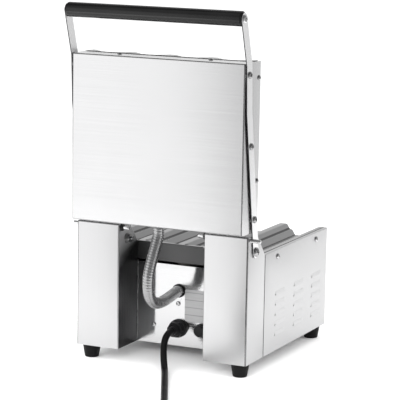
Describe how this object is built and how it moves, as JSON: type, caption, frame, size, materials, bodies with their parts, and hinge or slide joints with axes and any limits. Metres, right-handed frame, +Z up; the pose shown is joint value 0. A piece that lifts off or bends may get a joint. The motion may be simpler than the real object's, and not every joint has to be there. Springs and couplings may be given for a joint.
{
  "type": "contact grill",
  "caption": "Counter-top contact grill with a hinged lid on cranked flat arms, two deep-fluted cast plates, louvred steel body, conduit to the lid and a mains lead.",
  "frame": {"origin": "on the counter, under the middle of the bounding box without the mains lead", "axes": "+Z up, +Y to the rear where the hinge is, +X to the right seen from the front"},
  "size_m": [0.2982, 0.6799, 0.4895],
  "materials": {
    "stainless": "fine satin sheet",
    "hardware": "bright plated steel",
    "conduit": "corrugated flexible metal conduit",
    "cast_plate": "matt grey casting",
    "heater_sheath": "oxidised tube",
    "clamp_sheet": "plain sheet",
    "insulation": "fibre board",
    "ceramic": "moulded, off-white",
    "copper": "drawn tube",
    "black_plastic": "moulded",
    "grip_plastic": "smooth moulded tube",
    "white_plastic": "inlay",
    "red_plastic": "translucent rocker",
    "green_lens": "lamp lens",
    "amber_lens": "lamp lens",
    "label": "blank plate",
    "rubber": "matt black"
  },
  "bodies": {
    "base": {"bottom_plate": "stainless", "side_panel_left": "stainless", "side_panel_right": "stainless", "front_panel": "stainless", "back_panel": "stainless", "pillar_left": "stainless", "pillar_right": "stainless", "feet": "rubber", "foot_screws": "hardware", "side_screws": "hardware", "back_screws": "hardware", "lower_plate": "cast_plate", "lower_element": "heater_sheath", "lower_clamp_plate": "clamp_sheet", "lower_insulation": "insulation", "thermostat": "ceramic", "sensor_bulb": "copper", "switch_housing": "black_plastic", "lamp_power": "green_lens", "lamp_heat": "amber_lens", "terminal_block": "ceramic", "tray_runners": "stainless", "pivot_bolts": "hardware", "pivot_washers": "hardware", "pivot_nuts": "hardware", "stop_pins": "hardware", "stop_pin_caps": "black_plastic", "rating_plate": "label", "reset_cap": "black_plastic", "cable_gland": "black_plastic", "hose_grommet": "rubber", "hose": "conduit", "power_cord": "rubber", "cord_coil": "rubber", "plug_body": "rubber", "plug_pins": "hardware"},
    "lid": {"lid_cover": "stainless", "upper_plate": "cast_plate", "upper_element": "heater_sheath", "upper_clamp_plate": "clamp_sheet", "upper_insulation": "insulation", "lid_screws": "hardware", "hose_ferrule_lid": "hardware", "arm_left": "stainless", "arm_right": "stainless", "arm_spacers": "hardware", "arm_screws": "hardware", "handle_grip": "grip_plastic", "handle_rod": "hardware", "handle_screws": "hardware"},
    "knob": {"thermostat_shaft": "hardware", "thermostat_knob": "black_plastic", "knob_pointer": "white_plastic"},
    "rocker": {"switch_rocker": "red_plastic"},
    "tray": {"drip_tray": "stainless"}
  },
  "joints": [
    {"name": "lid_hinge", "type": "hinge", "parent": "base", "child": "lid", "pos_m": [0, 0.1085, 0.169], "axis": [1, 0, 0], "range_deg": [0, 90], "deforming": ["hose"]},
    {"name": "thermostat_turn", "type": "hinge", "parent": "base", "child": "knob", "pos_m": [0.066, -0.1485, 0.062], "axis": [0, 1, 0], "range_deg": [0, 270]},
    {"name": "switch_rock", "type": "hinge", "parent": "base", "child": "rocker", "pos_m": [-0.066, -0.1465, 0.062], "axis": [-1, 0, 0], "range_deg": [0, 16]},
    {"name": "tray_slide", "type": "slide", "parent": "base", "child": "tray", "axis": [0, -1, 0], "range_m": [0, 0.034]}
  ]
}
